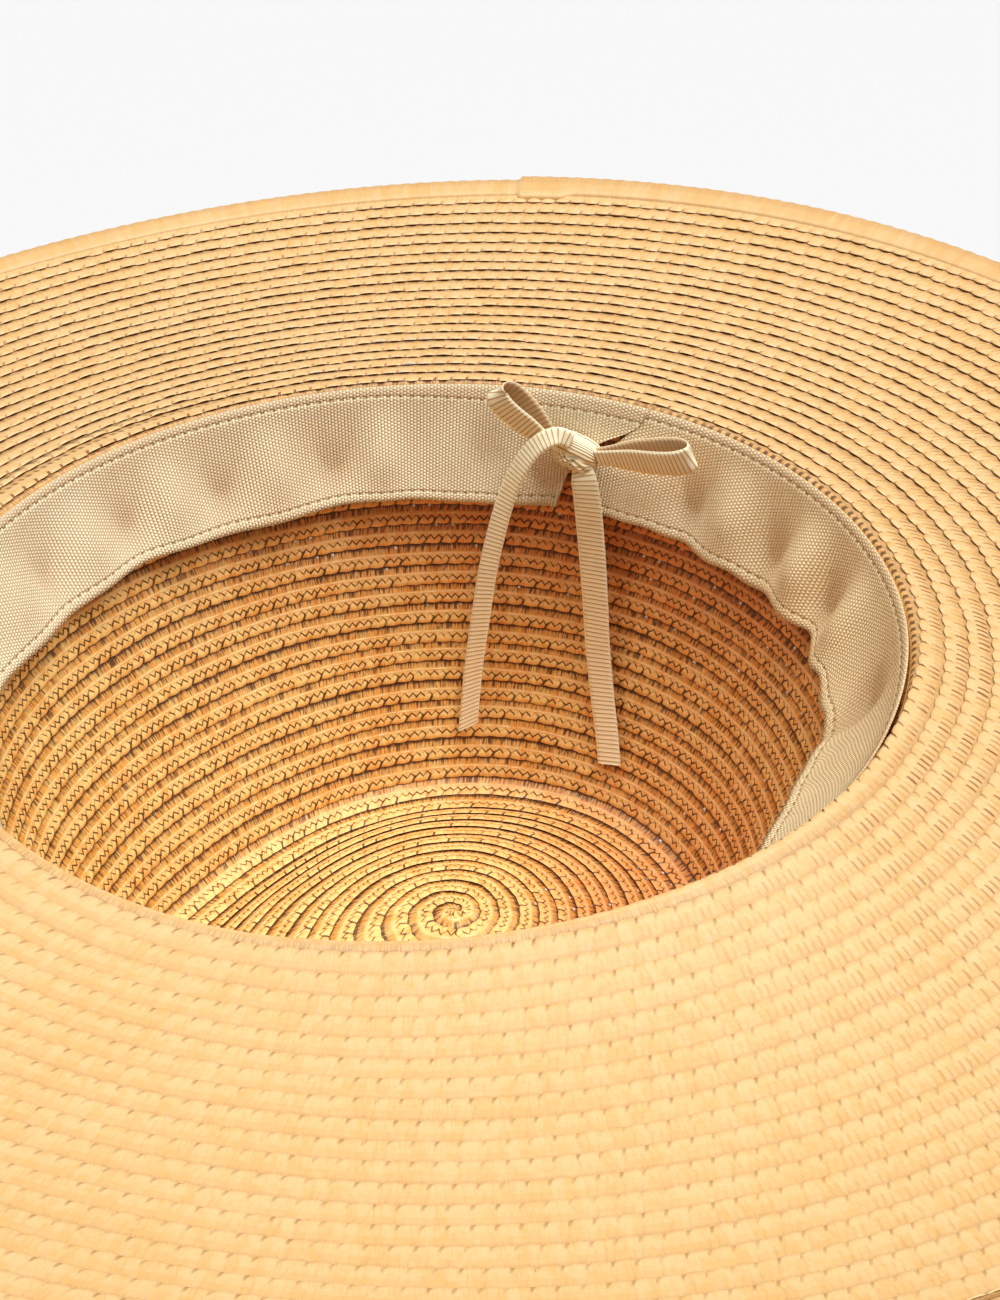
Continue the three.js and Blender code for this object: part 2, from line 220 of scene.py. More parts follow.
OUT_LENGTH, OUT_RADIUS, OUT_HEIGHT, OUT_SEAM, OUT_TIP = crown_outline()
OUT_SLOPE_R = np.gradient(OUT_RADIUS, OUT_LENGTH)
OUT_SLOPE_Z = np.gradient(OUT_HEIGHT, OUT_LENGTH)
SEAM_HEIGHT = OUT_HEIGHT[0]
SEAM_REACH = OUT_LENGTH[-1]


def head_oval(turn):
    return HEAD_OVAL * np.cos(2 * (turn - HEAD_TURN))


def seam_lift(turn, away):
    dip = DIP_DEPTH * bump(turn, DIP_TURN, DIP_SPREAD) * np.exp(-((away / DIP_REACH) ** 2))
    sway = lerp(SWAY_SEAM, SWAY_EDGE, away / BRIM_WIDTH)
    return sway * np.cos(2 * (turn - SWAY_TURN)) - dip


# A point of the crown: distance below the seam along the outline, turn, and distance into the hollow
def crown_point(down, turn, stand):
    tables = (OUT_RADIUS, OUT_HEIGHT, OUT_SLOPE_R, OUT_SLOPE_Z, OUT_TIP, OUT_SEAM)
    radius, height, slope_r, slope_z, tip, seam = (np.interp(down, OUT_LENGTH, table) for table in tables)
    radius = radius + stand * slope_z
    height = height - stand * slope_r
    ridge_oval = RIDGE_OVAL * np.cos(2 * (turn - RIDGE_TURN)) * tip**DENT_OVAL_FADE
    radius = radius + lerp(ridge_oval, head_oval(turn), smooth(seam))
    x = radius * np.cos(turn) + DENT_SHIFT[0] * (1 - tip)
    y = radius * np.sin(turn) + DENT_SHIFT[1] * (1 - tip)
    return np.stack([x, y, height + seam_lift(turn, 0 * turn) * seam**2], -1)


def brim_tables():
    away = np.linspace(0, BRIM_WIDTH, BRIM_STEPS + 1)
    share = (away[1:] + away[:-1]) / 2 / BRIM_WIDTH
    step = np.diff(away)

    def rise_and_reach(slopes):
        seam, middle, edge = slopes
        bend = 2 * (seam - 2 * middle + edge)
        angle = np.radians(seam + (edge - seam - bend) * share + bend * share**2)
        rise = running(np.sin(angle) * step)
        reach = running(np.cos(angle) * step)
        return rise, reach

    back_rise, _ = rise_and_reach(BRIM_BACK)
    front_rise, front_reach = rise_and_reach(BRIM_FRONT)
    return away, back_rise, front_rise, front_reach


BRIM_AWAY, BRIM_BACK_RISE, BRIM_FRONT_RISE, BRIM_REACH = brim_tables()


def brim_place(turn, away):
    back = np.interp(away, BRIM_AWAY, BRIM_BACK_RISE)
    front = np.interp(away, BRIM_AWAY, BRIM_FRONT_RISE)
    radius = HEAD_RADIUS + head_oval(turn) + np.interp(away, BRIM_AWAY, BRIM_REACH)
    height = SEAM_HEIGHT + lerp(back, front, forward(turn, BRIM_FORWARD)) + seam_lift(turn, away)
    return np.stack([radius, height], -1)


# A point beside the brim: out along its face from a place, and up from that face
def brim_point(turn, away, out, up):
    place = brim_place(turn, away)
    further = brim_place(turn, np.minimum(away + FACE_STEP, BRIM_WIDTH))
    along = unit(further - brim_place(turn, away - FACE_STEP))
    radius = place[..., 0] + along[..., 0] * out - along[..., 1] * up
    height = place[..., 1] + along[..., 1] * out + along[..., 0] * up
    return np.stack([radius * np.cos(turn), radius * np.sin(turn), height], -1)


# A point of the whole straw sheet: distance from the middle of the tip, turn, and height off its face
def straw_point(reach, turn, height):
    down = np.maximum(SEAM_REACH - reach, 0)
    away = np.maximum(reach - SEAM_REACH, 0)
    wall = crown_point(down, turn, 0 * turn)
    brim = brim_point(turn, away, 0, 0)
    base = np.where((reach < SEAM_REACH)[..., None], wall, brim)
    wall_out = unit(crown_point(down, turn, 0 * turn + 1) - wall)
    brim_out = unit(brim_point(turn, away, 0, 1) - brim)
    blend = smooth(reach, SEAM_REACH - SEAM_ROUND, SEAM_REACH + SEAM_ROUND)[..., None]
    return base + unit(lerp(wall_out, brim_out, blend)) * np.asarray(height)[..., None]


# Makes a mesh object from points in millimetres, quads, and named UV maps given per point
def mesh_object(name, points, quads, uvs, material):
    mesh = bpy.data.meshes.new(name)
    quads = np.ascontiguousarray(quads, np.int32)
    mesh.vertices.add(len(points))
    mesh.vertices.foreach_set("co", np.ascontiguousarray(points * MM, np.float32).ravel())
    mesh.loops.add(quads.size)
    mesh.loops.foreach_set("vertex_index", quads.ravel())
    mesh.polygons.add(len(quads))
    mesh.polygons.foreach_set("loop_start", np.arange(0, quads.size, 4, dtype=np.int32))
    mesh.polygons.foreach_set("use_smooth", np.ones(len(quads), bool))
    mesh.update(calc_edges=True)
    for layer_name, values in uvs.items():
        layer = mesh.uv_layers.new(name=layer_name)
        layer.data.foreach_set("uv", np.ascontiguousarray(values[quads.ravel()], np.float32).ravel())
    mesh.materials.append(material)
    obj = bpy.data.objects.new(name, mesh)
    bpy.context.scene.collection.objects.link(obj)
    return obj


# Quads of a grid of points with rows and columns, joined round either way where asked
def grid_quads(rows, columns, join_rows=False, join_columns=False, turned=False):
    i = np.arange(rows if join_rows else rows - 1)
    j = np.arange(columns if join_columns else columns - 1)
    i, j = np.meshgrid(i, j, indexing="ij")
    a = i * columns + j
    b = i * columns + (j + 1) % columns
    c = (i + 1) % rows * columns + (j + 1) % columns
    d = (i + 1) % rows * columns + j
    quads = np.stack([a, d, c, b] if turned else [a, b, c, d], -1)
    return quads.reshape(-1, 4)


# Maths on shader sockets, written as plain expressions
class Maths:
    def __init__(self, tree, socket):
        self.tree = tree
        self.socket = socket

    def feed(self, value, socket):
        if isinstance(value, Maths):
            self.tree.links.new(value.socket, socket)
        else:
            socket.default_value = value

    def op(self, name, *others):
        node = self.tree.nodes.new("ShaderNodeMath")
        node.operation = name
        for value, socket in zip((self, *others), node.inputs):
            self.feed(value, socket)
        return Maths(self.tree, node.outputs[0])

    def __add__(self, other):
        return self.op("ADD", other)

    def __sub__(self, other):
        return self.op("SUBTRACT", other)

    def __mul__(self, other):
        return self.op("MULTIPLY", other)

    def flip(self):
        return self.op("MULTIPLY_ADD", -1.0, 1.0)

    def fract(self):
        return self.op("FRACT")

    def floor(self):
        return self.op("FLOOR")

    def abs(self):
        return self.op("ABSOLUTE")

    def sin(self):
        return self.op("SINE")

    # A smooth step up from 0 at one value to 1 at another
    def step(self, start, full):
        node = self.tree.nodes.new("ShaderNodeMapRange")
        node.interpolation_type = "SMOOTHSTEP"
        for value, name in ((self, "Value"), (start, "From Min"), (full, "From Max")):
            self.feed(value, node.inputs[name])
        return Maths(self.tree, node.outputs["Result"])

    # A line along a place, with the distances from it where the line starts and where it is full
    def near(self, place, width):
        return (self - place).abs().step(*width)

    # Such a line half-way between whole numbers
    def stripe(self, width):
        return self.fract().near(0.5, width)


# The sum of named marks, each times its weight
def weighed(marks, **weights):
    first, *rest = [marks[name] * weight for name, weight in weights.items()]
    return sum(rest, first)


# Sockets of a mix node that hold its two colours and their mix
MIX_COLOURS = (6, 7)
MIX_RESULT = 2
NOISE_DETAIL = 2.0


class Paint:
    """A material with one Principled shader, and short ways to add its nodes."""

    def __init__(self, name, roughness, specular):
        self.material = bpy.data.materials.new(name)
        self.material.use_nodes = True
        self.tree = self.material.node_tree
        self.shader = self.tree.nodes["Principled BSDF"]
        self.shader.inputs["Roughness"].default_value = roughness
        self.shader.inputs["Specular IOR Level"].default_value = specular

    def uv(self, name):
        node = self.tree.nodes.new("ShaderNodeUVMap")
        node.uv_map = name
        split = self.tree.nodes.new("ShaderNodeSeparateXYZ")
        self.tree.links.new(node.outputs["UV"], split.inputs[0])
        return Maths(self.tree, split.outputs[0]), Maths(self.tree, split.outputs[1])

    def chance(self, value):
        node = self.tree.nodes.new("ShaderNodeTexWhiteNoise")
        node.noise_dimensions = "1D"
        self.tree.links.new(value.socket, node.inputs["W"])
        return Maths(self.tree, node.outputs["Value"])

    def noise_at(self, vector, scale):
        node = self.tree.nodes.new("ShaderNodeTexNoise")
        node.inputs["Scale"].default_value = scale
        node.inputs["Detail"].default_value = NOISE_DETAIL
        self.tree.links.new(vector, node.inputs["Vector"])
        return Maths(self.tree, node.outputs["Fac"])

    def noise(self, *values, pace=(1.0, 1.0)):
        vector = self.tree.nodes.new("ShaderNodeCombineXYZ")
        for value, speed, socket in zip(values, pace, vector.inputs):
            self.tree.links.new((value * speed).socket, socket)
        return self.noise_at(vector.outputs[0], 1.0)

    def space_noise(self, scale):
        where = self.tree.nodes.new("ShaderNodeTexCoord")
        return self.noise_at(where.outputs["Object"], scale)

    def mix(self, mask, first, second, share=1.0):
        node = self.tree.nodes.new("ShaderNodeMix")
        node.data_type = "RGBA"
        self.tree.links.new((mask * share).socket, node.inputs["Factor"])
        for slot, colour in zip(MIX_COLOURS, (first, second)):
            if isinstance(colour, tuple):
                node.inputs[slot].default_value = (*colour, 1.0)
            else:
                self.tree.links.new(colour, node.inputs[slot])
        return node.outputs[MIX_RESULT]

    def finish(self, colour, height, distance):
        self.tree.links.new(colour, self.shader.inputs["Base Color"])
        node = self.tree.nodes.new("ShaderNodeBump")
        node.inputs["Distance"].default_value = distance * MM
        self.tree.links.new(height.socket, node.inputs["Height"])
        self.tree.links.new(node.outputs["Normal"], self.shader.inputs["Normal"])
        return self.material


# Tones of the straw on the crown and the brim, of the painted shade below the sweatband, at the foot of the
# right wall and on the tip, of the thread, and of painted light through a gap
CROWN_LIGHT = (1.0, 0.67, 0.23)
CROWN_DEEP = (0.87, 0.38, 0.065)
CROWN_GAP = (0.07, 0.018, 0.004)
CROWN_SHADE = (0.72, 0.10, 0.004)
BRIM_LIGHT = (0.742, 0.490, 0.224)
BRIM_DEEP = (0.71, 0.41, 0.143)
BRIM_GAP = (0.24, 0.08, 0.016)
THREAD_TONE = (0.98, 0.78, 0.46)
LEAK_PAINTED_LIGHT = (1.0, 0.95, 0.9)

# Marks of the straw. Places across a row go from 0 at its free edge to 1 at the next row.
DARK_MOST = 0.95
SHADOW_FRINGE = 0.5
RELIEF_LEAST = 0.4
PLAIT_SWAY = 0.35
TENTS = 2.0
TENT_SWAY = 0.7
TENT_SHIFT = 6.0
ROOF_TOP = 0.49
ROOF_FALL = 0.20
ROOF_CHANCE = 0.07
STROKE_BASE = 0.45
STROKE_CHANCE = 1.2
STROKE_SIDE = 1.1
BULGE_EDGE = 0.05
STRANDS = 2.6
STRAND_LEAN = 0.7
STRAND_SWAY = 0.8
STRAND_LEAST = 0.1
CUT_LEAN = 0.55
CUT_BRIM = 0.45
THREAD_PLACE = 0.56
THREAD_WAVER = 0.06
LEAK_PLACE = 0.92
LEAK_SHIFT = 0.12
PIT_PLACE = 0.78
PIT_LEAN = 1.4
TEETH = 1.8
TEETH_SWAY = 0.5


# Paper-straw braid. Its map runs along the row in plaits, and across it from the free edge. On the crown each
# plait shows two strands as little tents, outlined by dark strokes below a line of thread. On the brim a rope
# lies beside fine slanting strands. A second map holds the strength of the dark lines, and a tone: 0 on the
# crown, 1 on the brim and less than 0 where painted shade darkens the straw. A third holds gapes, and the
# strength of the strands.
def straw_material():
    paint = Paint("straw_braid", roughness=0.5, specular=0.6)
    straw = StrawMaps(paint)
    marks = straw_marks(paint, straw)
    colour = straw_colour(paint, straw, marks)
    height = weighed(marks, bulge=0.45, fibre=0.6, thread=0.35, stroke=-0.8, hatch=-0.5, cut=-0.4)
    height = height * straw.contrast.op("MULTIPLY_ADD", 1 - RELIEF_LEAST, RELIEF_LEAST)
    return paint.finish(colour, height, distance=0.26)


def straw_colour(paint, straw, marks):
    light = paint.mix(straw.brim, CROWN_LIGHT, BRIM_LIGHT)
    deep = paint.mix(straw.brim, CROWN_DEEP, BRIM_DEEP)
    gap = paint.mix(straw.brim, CROWN_GAP, BRIM_GAP)
    depth = weighed(marks, fibre=1.3, tent_chance=0.35, cloud=0.4, mottle=0.9, covered=0.22)
    colour = paint.mix(depth.step(start=1.2, full=2.0), light, deep)
    # Painted shade below the sweatband, at the foot of the right wall and on the tip
    colour = paint.mix(straw.shaded, colour, CROWN_SHADE)
    colour = paint.mix(marks["thread"], colour, THREAD_TONE, share=0.5)
    # Painted shadow under the free edge of the next row, with the streaks there, weaker where a row gapes
    shadow = weighed(marks, streak=0.7, under=0.6) * straw.fringe.op("MULTIPLY_ADD", -SHADOW_FRINGE, 1.0)
    dark = weighed(marks, stroke=1.0, cut=1.4, pit=1.3, parted=0.6) + shadow
    dark = dark * straw.contrast + marks["hatch"]
    colour = paint.mix(dark.op("MINIMUM", DARK_MOST), colour, gap)
    colour = paint.mix(marks["teeth"], colour, CROWN_GAP, share=0.85)
    # Painted specks of light through gaps, only where shade is painted
    return paint.mix(marks["painted_leak"], colour, LEAK_PAINTED_LIGHT, share=0.8)


class StrawMaps:
    """The maps of the straw, and what several of its marks are worked out from."""

    def __init__(self, paint):
        self.along, self.across = paint.uv("braid")
        self.contrast, tone = paint.uv("shade")
        self.fringe, self.strands = paint.uv("strands")
        self.brim = tone.op("MAXIMUM", 0.0)
        self.crown = self.brim.flip()
        self.shaded = tone.op("MINIMUM", 0.0) * -1.0
        self.sway = paint.noise(self.along, pace=(0.9,))
        self.tents = self.along * TENTS + self.sway * TENT_SWAY
        self.tent_chance = paint.chance(self.tents.floor())
        self.plaits = self.along + self.sway * PLAIT_SWAY
        self.plait_chance = paint.chance(self.plaits.floor())


def straw_marks(paint, straw):
    stroke, bulge = tent_marks(straw)
    fibre, covered, streak, parted = fibre_marks(paint, straw)
    painted_leak, pit = shaded_marks(paint, straw)
    return dict(
        stroke=stroke, bulge=bulge, fibre=fibre, covered=covered, streak=streak, parted=parted,
        painted_leak=painted_leak, pit=pit, cut=edge_cuts(straw), teeth=fringe_teeth(straw),
        hatch=strand_marks(paint, straw), thread=thread_line(paint, straw),
        under=straw.across.step(start=0.86, full=0.98), tent_chance=straw.tent_chance,
        mottle=paint.noise(straw.along, straw.across, pace=(1.7, 3.0)), cloud=paint.space_noise(scale=38.0),
    )


# Dark strokes along the roofs of the tents, and the bulge from each roof to the free edge
def tent_marks(straw):
    side = straw.tents.fract() - 0.5
    aside = side.abs() * 2.0
    roof = aside.op("MULTIPLY_ADD", -ROOF_FALL, ROOF_TOP) - straw.tent_chance * ROOF_CHANCE
    strength = straw.tent_chance * STROKE_CHANCE - side * STROKE_SIDE + STROKE_BASE
    strength = strength.op("MAXIMUM", 0.0).op("MINIMUM", 1.0)
    stroke = straw.across.near(roof, width=(0.062, 0.02)) * straw.across.step(start=0.53, full=0.49)
    bulge = (aside * aside).flip() * straw.across.step(roof, roof + BULGE_EDGE).flip()
    return stroke * strength * straw.crown, bulge * straw.crown


# Fine slanting strands of the brim
def strand_marks(paint, straw):
    lay = straw.along * STRANDS + straw.across * STRAND_LEAN + straw.sway * STRAND_SWAY
    inside = straw.across.step(start=0.40, full=0.52) * straw.across.step(start=0.97, full=0.86)
    strength = (paint.chance(lay.floor()) + STRAND_LEAST) * straw.strands
    return lay.stripe(width=(0.26, 0.10)) * inside * strength * straw.brim


# Cuts between the plaits at the free edge
def edge_cuts(straw):
    slant = straw.along + straw.across * CUT_LEAN + 0.5
    strength = straw.plait_chance + straw.brim * CUT_BRIM
    return slant.stripe(width=(0.11, 0.04)) * straw.across.step(start=0.44, full=0.22) * strength


# Line of thread on the crown, which wavers and has plies
def thread_line(paint, straw):
    waver = (paint.noise(straw.along, pace=(0.8,)) - 0.5) * THREAD_WAVER
    ply = paint.noise(straw.along, straw.across, pace=(1.6, 24.0))
    line = (straw.across + waver).near(THREAD_PLACE, width=(0.055, 0.02))
    return line * ply.step(start=0.32, full=0.6) * straw.crown


# Noise that differs from tent to tent
def tent_noise(paint, straw, along, across):
    return paint.noise(straw.along * along, straw.across * across + straw.tent_chance * TENT_SHIFT)


# Fibres, and beside the next row dark streaks among them, darkest towards that row's edge as painted shadow,
# and gaps between strands
def fibre_marks(paint, straw):
    fibre = tent_noise(paint, straw, along=11.0, across=1.3)
    strand = tent_noise(paint, straw, along=6.0, across=0.8)
    covered = straw.across.step(start=0.60, full=0.68)
    streak = fibre.step(start=0.60, full=0.40) * covered * straw.across.step(start=0.45, full=0.95)
    parted = strand.step(start=0.50, full=0.38) * covered * straw.across.step(start=0.55, full=0.75)
    return fibre, covered, streak, parted * straw.crown


# Painted specks of light, and slanting dark pits that deepen the painted shade, both only where that shade is
def shaded_marks(paint, straw):
    middle = straw.plaits.fract() + straw.plait_chance * LEAK_SHIFT
    spot = middle.near(0.5, width=(0.10, 0.05)) * straw.across.near(LEAK_PLACE, width=(0.07, 0.03))
    painted_leak = spot * straw.plait_chance.step(start=0.76, full=0.80) * straw.shaded.step(start=0.12, full=0.3)
    lean = straw.tents + straw.across * PIT_LEAN
    pit = lean.stripe(width=(0.22, 0.08)) * straw.across.near(PIT_PLACE, width=(0.16, 0.08))
    return painted_leak, pit * paint.chance(lean.floor()) * straw.shaded


# Dark teeth where a gape shows the ends of the braid
def fringe_teeth(straw):
    ragged = straw.along * TEETH + straw.sway * TEETH_SWAY
    inside = straw.across.step(start=0.62, full=0.70) * straw.across.step(start=0.96, full=0.88)
    return ragged.stripe(width=(0.30, 0.16)) * inside * straw.fringe


# Woven cotton of the sweatband, with painted warm light reflected from the straw on its right, painted shade
# in the hollows of its folds, and a deeper strip above the top stitches
BAND_LIGHT = (1.0, 0.89, 0.63)
BAND_DEEP = (1.0, 0.80, 0.51)
BAND_GAP = (0.80, 0.49, 0.20)
BAND_PAINTED_BOUNCE = (1.0, 0.70, 0.34)
BAND_STRIP = (0.72, 0.50, 0.30)
BAND_HOLLOW_SHADE = (0.62, 0.38, 0.19)
STITCH_TONE = (0.36, 0.20, 0.08)
BAND_BOUNCE_TURNS = (math.radians(312), math.radians(352))
BAND_BOUNCE_EASE_TURNS = (math.radians(426), math.radians(390))
BAND_BOUNCE_LEAST = 0.15
BAND_BOUNCE_MORE = 0.45
YARN_HEIGHT = 0.6
WARP_PITCH = 0.78
WEFT_PITCH = 0.72
STITCH_TOP = 3.4
STITCH_HEM = 2.0
STITCH_PITCH = 2.7
STRIP_EDGE = 0.4


# The map is in millimetres along the band and down from its sewn edge. A second map holds the height of the
# folds, whose hollows get painted shade.
def band_material():
    paint = Paint("sweatband_weave", roughness=0.85, specular=0.12)
    along, down = paint.uv("cloth")
    yarn = woven_yarn(along, down)
    groove, stitch = stitch_marks(along, down)
    slub = paint.noise(along, down, pace=(1.2, 0.18))
    marks = dict(yarn=yarn, slub=slub, cloud=paint.space_noise(scale=30.0), groove=groove)
    tone = weighed(marks, slub=0.7, cloud=0.7, yarn=-0.25)
    colour = paint.mix(tone.step(start=0.2, full=0.95), BAND_LIGHT, BAND_DEEP)
    colour = band_shades(paint, along, down, colour)
    colour = paint.mix(yarn.step(start=0.50, full=0.1), colour, BAND_GAP, share=0.65)
    colour = paint.mix(stitch, colour, STITCH_TONE, share=0.75)
    height = weighed(marks, yarn=1.0, slub=0.3, groove=-0.7)
    return paint.finish(colour, height, distance=0.30)


def woven_yarn(along, down):
    warp = (along * (math.pi / WARP_PITCH)).sin().abs()
    over = (along * (1 / WARP_PITCH)).floor() * 0.5
    weft = ((down * (1 / WEFT_PITCH) + over) * math.pi).sin().abs()
    return (warp + warp * weft) * YARN_HEIGHT


def stitch_marks(along, down):
    top = (down - STITCH_TOP).abs()
    hem = (down - (BAND_DROP - STITCH_HEM)).abs()
    dash = (along * (1 / STITCH_PITCH)).stripe(width=(0.22, 0.1))
    groove = top.step(start=0.55, full=0.1).op("MAXIMUM", hem.step(start=0.5, full=0.1))
    stitch = top.step(start=0.32, full=0.2).op("MAXIMUM", hem.step(start=0.3, full=0.18))
    return groove, stitch * dash


def band_shades(paint, along, down, colour):
    turn = along * (1 / HEAD_RADIUS)
    ease = turn.step(*BAND_BOUNCE_EASE_TURNS).op("MULTIPLY_ADD", BAND_BOUNCE_MORE, BAND_BOUNCE_LEAST)
    # Painted warm light reflected from the straw on the right
    colour = paint.mix(turn.step(*BAND_BOUNCE_TURNS) * ease, colour, BAND_PAINTED_BOUNCE)
    fold, _ = paint.uv("fold")
    # Painted shade in the hollows of the folds
    colour = paint.mix(fold.step(start=-0.2, full=-2.6), colour, BAND_HOLLOW_SHADE, share=0.6)
    return paint.mix(down.step(STITCH_TOP, STITCH_TOP - STRIP_EDGE), colour, BAND_STRIP, share=0.5)


# Ribbed ribbon, deeper between its ribs, with painted shade on the inside of the loops
RIBBON_LIGHT = (1.0, 0.92, 0.66)
RIBBON_DEEP = (0.99, 0.82, 0.51)
RIBBON_GAP = (0.42, 0.21, 0.065)
RIBBON_INSIDE_SHADE = (0.60, 0.33, 0.14)


# The map is in millimetres along the ribbon, and from -1 to 1 across it. A second map is 1 inside the loops,
# where shade is painted.
def ribbon_material():
    paint = Paint("bow_ribbon", roughness=0.75, specular=0.12)
    along, across = paint.uv("ribbon")
    rib = (along * (math.pi / RIB_PITCH)).sin().abs()
    edge = across.abs().step(start=0.86, full=0.92)
    yarn = paint.noise(along, across, pace=(2.4, 14.0))
    marks = dict(rib=rib, edge=edge, yarn=yarn, cloud=paint.space_noise(scale=90.0))
    tone = weighed(marks, yarn=0.5, cloud=0.6, rib=-0.3)
    colour = paint.mix(tone.step(start=0.1, full=0.8), RIBBON_LIGHT, RIBBON_DEEP)
    colour = paint.mix(rib.step(start=0.50, full=0.1) * edge.flip(), colour, RIBBON_GAP, share=0.85)
    inside, _ = paint.uv("inside")
    colour = paint.mix(inside, colour, RIBBON_INSIDE_SHADE, share=0.6)
    height = weighed(marks, rib=1.0, yarn=0.25, edge=0.4)
    return paint.finish(colour, height, distance=0.12)


STRAW_PAINT = straw_material()
BAND_PAINT = band_material()
RIBBON_PAINT = ribbon_material()


# One continuous spiral of braid. Its phase puts the free edges at the back where the photo's rows have them.
BACK_PHASE = 0.264
SPIRAL_START = (SEAM_REACH - BACK_PHASE * ROW) % ROW
TIP_LEAD = 1.2
FIRST_TURN = -SPIRAL_START / ROW - TIP_LEAD
LAST_TURN = (SEAM_REACH + BRIM_WIDTH - SPIRAL_START) / ROW
FEWEST_PLAITS = 5


def ring_length(reach):
    down = SEAM_REACH - reach
    if down > 0:
        return math.tau * np.interp(down, OUT_LENGTH, OUT_RADIUS)
    return math.tau * (HEAD_RADIUS + np.interp(-down, BRIM_AWAY, BRIM_REACH))


# Columns of the spiral from one turn to another: turns gone, and plaits gone
def spiral_columns(first, last, per_plait):
    turns, plaits, gone = [], [], 0
    for lap in range(math.floor(FIRST_TURN), math.ceil(LAST_TURN) + 1):
        middle = SPIRAL_START + ROW * (lap + 1)
        length = ring_length(min(middle, SEAM_REACH + BRIM_WIDTH))
        count = max(FEWEST_PLAITS, round(length / PLAIT))
        share = np.arange(count * per_plait) / per_plait
        turns.append(lap + share / count)
        plaits.append(gone + share)
        gone += count
    turns, plaits = np.concatenate(turns), np.concatenate(plaits)
    start, stop = np.searchsorted(turns, (first, last))
    return turns[start : stop + 1], plaits[start : stop + 1]


# A fixed chance for each plait, from -0.5 to 0.5
CHANCE_PACE = 12.9898
CHANCE_SPREAD = 43758.5453


def plait_chance(plaits):
    return np.mod(np.sin(np.floor(plaits) * CHANCE_PACE) * CHANCE_SPREAD, 1) - 0.5


# Hand-sewn rows wander a little: waves to a turn, size and phase
WANDER = ((2.3, 0.16, 0.4), (5.9, 0.12, 1.9), (13.1, 0.08, 4.1))


def wander(turns):
    return sum(size * np.sin(math.tau * count * turns + phase) for count, size, phase in WANDER)


# Section of the braid seen inside: distance from the free edge, and height off the face of the hat
INSIDE_ACROSS = (0.0, 0.42, 1.2, 1.85, 2.6, 3.6, 4.75, 7.4)
INSIDE_HEIGHT = (0.00, 0.26, 0.30, 0.12, 0.14, 0.00, -0.32, -0.72)

# Section of the braid seen outside, with the free edge away from the tip
OUTSIDE_ACROSS = (0.0, 0.5, 1.7, 3.4, 5.6)
OUTSIDE_HEIGHT = (-0.35, -0.06, -0.12, -0.25, -0.75)

# Points that each plait moves: which point, how far its loop moves it, at which share of the loop it is in
# place, and how far chance moves it
INSIDE_ACROSS_MOVES = ((0, -0.50, 1.0, 0.25), (1, -0.30, 1.0, 0.15), (3, 0.45, 0.5, 0.0))
INSIDE_HEIGHT_MOVES = (
    (0, 0.30, 0.55, 0.12), (1, 0.34, 0.6, 0.14), (2, 0.24, 0.6, 0.12), (3, 0.18, 0.8, 0.0),
)
OUTSIDE_ACROSS_MOVES = ((0, -0.4, 1.0, 0.0),)
OUTSIDE_HEIGHT_MOVES = ((1, 0.2, 1.0, 0.0), (2, 0.2, 1.0, 0.0))
LOOP_LEAN = 0.75
TWIST_POINT = 5
TWIST_HEIGHT = 0.05


def plait_loop(place):
    return 0.5 - 0.5 * np.cos(math.tau * place)


def moved_points(values, moves, loop, lively, chance):
    points = np.tile(values, (len(loop), 1))
    for point, size, rest, luck in moves:
        points[:, point] += size * lively * (loop - rest) + luck * chance
    return points


def inside_section(plaits, lively):
    place = plaits % 1
    loop = plait_loop(place**LOOP_LEAN)
    chance = plait_chance(plaits) * lively
    across = moved_points(INSIDE_ACROSS, INSIDE_ACROSS_MOVES, loop, lively, chance)
    height = moved_points(INSIDE_HEIGHT, INSIDE_HEIGHT_MOVES, loop, lively, chance)
    height[:, TWIST_POINT] += TWIST_HEIGHT * np.sin(math.tau * place)
    return across, height


def outside_section(plaits):
    loop = plait_loop(plaits % 1)
    across = moved_points(OUTSIDE_ACROSS, OUTSIDE_ACROSS_MOVES, loop, 1, 0)
    height = moved_points(OUTSIDE_HEIGHT, OUTSIDE_HEIGHT_MOVES, loop, 1, 0)
    return across, height


# Strength of the dark lines on the tip and the brim, and both strength and tone outside
TIP_CONTRAST = 0.8
BRIM_CONTRAST = 0.36
FRONT_CONTRAST = 0.26
OUTSIDE_SHADE = (0.7, 1.0)

# Where the looks of the straw change: distances out past the seam, down from it, and forward
CONTRAST_OUT = (-1.5, 5.0)
PALE_OUT = (-3.0, 1.0)
TIP_DOWN = (92, 112)
SHADE_FORWARD = (-0.3, 0.5)

# Painted shade that darkens the straw: below the sweatband, at the foot of the right wall, and on the tip
SHADE_DEPTH = 0.72
SHADE_TURN = math.radians(62)
SHADE_SPREAD = math.radians(62)
SHADE_DOWN = (76, 20)
FOOT_SHADE_DEPTH = 0.48
FOOT_TURN = math.radians(8)
FOOT_DOWN = (40, 84)
FOOT_REACH = (8, 40)
TIP_SHADE_DEPTH = 0.1


